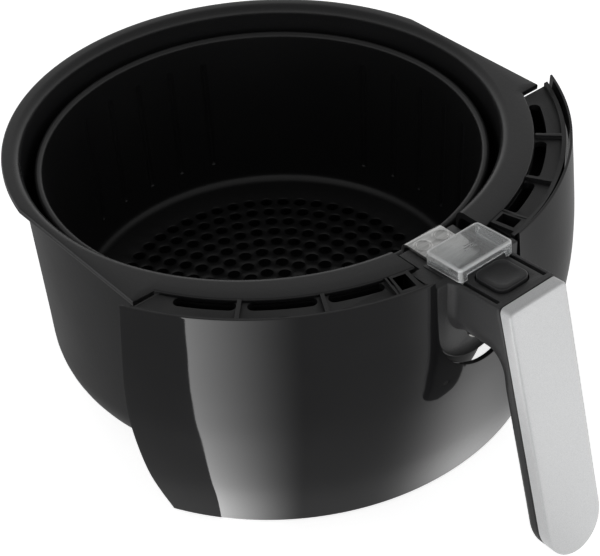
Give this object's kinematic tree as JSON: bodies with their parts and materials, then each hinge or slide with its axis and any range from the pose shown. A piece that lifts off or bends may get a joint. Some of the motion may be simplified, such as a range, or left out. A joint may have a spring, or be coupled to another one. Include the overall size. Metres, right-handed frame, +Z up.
{
  "type": "air fryer drawer",
  "caption": "Drawer of a basket air fryer: round pan with a glossy black front, perforated basket, latched handle with a silver face, release button and sliding clear guard.",
  "frame": {"origin": "centre of the pan's flat base, on the surface that the drawer stands on", "axes": "+Z up, -Y towards the handle, +X to the right seen from the handle"},
  "size_m": [0.2576, 0.3274, 0.1338],
  "materials": {
    "pan_coating": "satin non-stick coating",
    "basket_coating": "satin non-stick coating",
    "gloss_black": "high gloss",
    "matte_black": "fine matt",
    "button_black": "satin",
    "bracket_steel": "satin",
    "zinc_steel": "zinc plated",
    "silver_paint": "fine metallic silver",
    "clear_plastic": "clear"
  },
  "bodies": {
    "pan": {"pan_shell": "pan_coating", "front_fascia": "gloss_black", "front_carrier": "matte_black", "carrier_screw_left_outer": "zinc_steel", "carrier_screw_left_inner": "zinc_steel", "carrier_screw_right_inner": "zinc_steel", "carrier_screw_right_outer": "zinc_steel", "latch_keeper": "zinc_steel", "keeper_screw_left": "zinc_steel", "keeper_screw_right": "zinc_steel"},
    "basket": {"basket_bowl": "basket_coating", "handle_bracket": "bracket_steel", "bracket_screw_left": "zinc_steel", "bracket_screw_right": "zinc_steel", "handle_body": "matte_black", "arm_bottom_cover": "matte_black", "cover_screw_left": "zinc_steel", "cover_screw_right": "zinc_steel", "handle_front_cover": "silver_paint", "grip_screw_upper": "zinc_steel", "grip_screw_lower": "zinc_steel", "latch_pin": "zinc_steel", "button_spring": "zinc_steel"},
    "button": {"release_button": "button_black"},
    "latch": {"latch_lever": "matte_black"},
    "guard": {"button_guard": "clear_plastic"}
  },
  "joints": [
    {"name": "basket_lift", "type": "slide", "parent": "pan", "child": "basket", "axis": [0, 0, 1], "range_m": [0, 0.13]},
    {"name": "button_press", "type": "slide", "parent": "basket", "child": "button", "axis": [0, -0.0715, -0.9974], "range_m": [0, 0.003], "stiffness_N_per_m": 500, "springref_m": -0.003, "deforming": ["button_spring"]},
    {"name": "latch_swing", "type": "hinge", "parent": "basket", "child": "latch", "pos_m": [0, -0.1325, 0.097], "axis": [1, 0, 0], "range_deg": [0, 8.5]},
    {"name": "guard_slide", "type": "slide", "parent": "basket", "child": "guard", "axis": [0, -0.9974, 0.0715], "range_m": [0, 0.019]}
  ],
  "couplings": [
    {"joint": "latch_swing", "follows": "button_press", "rad_per_m": 46}
  ]
}
